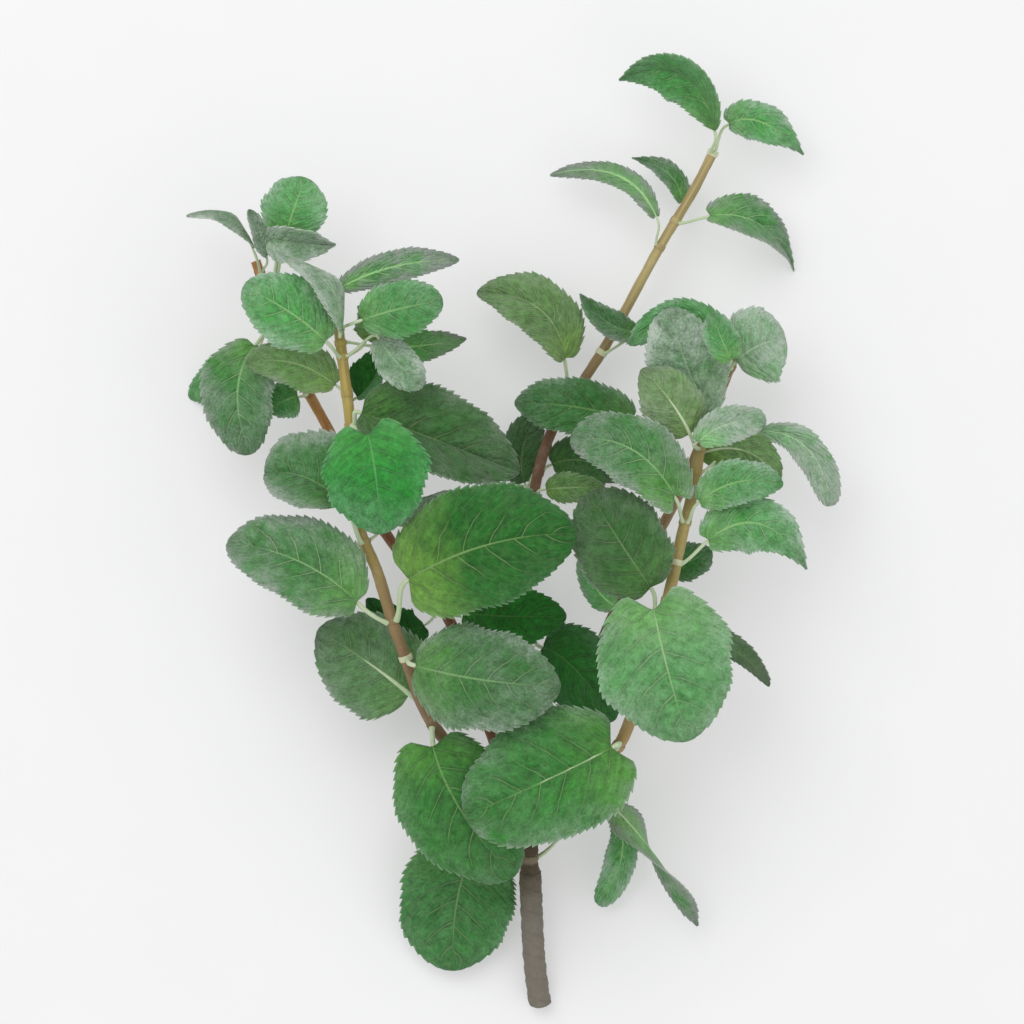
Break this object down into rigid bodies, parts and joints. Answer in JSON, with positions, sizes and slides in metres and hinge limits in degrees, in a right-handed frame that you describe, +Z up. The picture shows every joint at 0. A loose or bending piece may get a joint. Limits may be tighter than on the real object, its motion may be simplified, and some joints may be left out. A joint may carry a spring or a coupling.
{
  "type": "mint sprig",
  "caption": "Cut branching sprig of serrated, velvety mint leaves in opposite pairs on slim stems, lying flat, with one taped main stem.",
  "frame": {"origin": "centre of the sprig's bounding box, at the level of the surface it lies on", "axes": "+Y from the cut end of the main stem to the tips of the branches, +Z up from the surface, +X to the right"},
  "size_m": [0.2062, 0.3008, 0.0747],
  "materials": {
    "main_stem_tape": "matte wrapped tape, grey-brown, with slight ripples",
    "branch_stems": "smooth ochre, reddish brown towards the foot",
    "main_stem_leaves": "velvety green with paler veins",
    "left_front_leaves": "velvety green with paler veins and dusty edges",
    "left_back_leaves": "velvety green with paler veins and dusty edges",
    "middle_leaves": "velvety dark green with paler veins",
    "right_front_leaves": "velvety dusty green with pale yellow veins",
    "right_back_leaves": "velvety grey-green, frosted"
  },
  "bodies": {
    "root": {"main_stem": "main_stem_tape", "left_front_branch": "branch_stems", "left_back_branch": "branch_stems", "middle_branch": "branch_stems", "right_front_branch": "branch_stems", "right_back_branch": "branch_stems", "main_stem_pair": "main_stem_leaves", "left_front_pair_1": "left_front_leaves", "left_front_pair_2": "left_front_leaves", "left_front_pair_3": "left_front_leaves", "left_front_pair_4": "left_front_leaves", "left_front_pair_5": "left_front_leaves", "left_front_pair_6": "left_front_leaves", "left_front_pair_7": "left_front_leaves", "left_front_pair_8": "left_front_leaves", "left_front_pair_9": "left_front_leaves", "left_back_pair_2": "left_back_leaves", "left_back_pair_3": "left_back_leaves", "left_back_pair_4": "left_back_leaves", "left_back_pair_5": "left_back_leaves", "left_back_pair_6": "left_back_leaves", "middle_pair_1": "middle_leaves", "middle_pair_2": "middle_leaves", "middle_pair_3": "middle_leaves", "middle_pair_4": "middle_leaves", "middle_pair_5": "middle_leaves", "middle_pair_6": "middle_leaves", "middle_pair_7": "middle_leaves", "middle_pair_8": "middle_leaves", "right_front_pair_0": "right_front_leaves", "right_front_pair_1": "right_front_leaves", "right_front_pair_2": "right_front_leaves", "right_front_pair_3": "right_front_leaves", "right_front_pair_4": "right_front_leaves", "right_front_pair_5": "right_front_leaves", "right_front_pair_6": "right_front_leaves", "right_back_pair_1": "right_back_leaves", "right_back_pair_2": "right_back_leaves", "right_back_pair_3": "right_back_leaves", "right_back_pair_4": "right_back_leaves"}
  },
  "joints": []
}
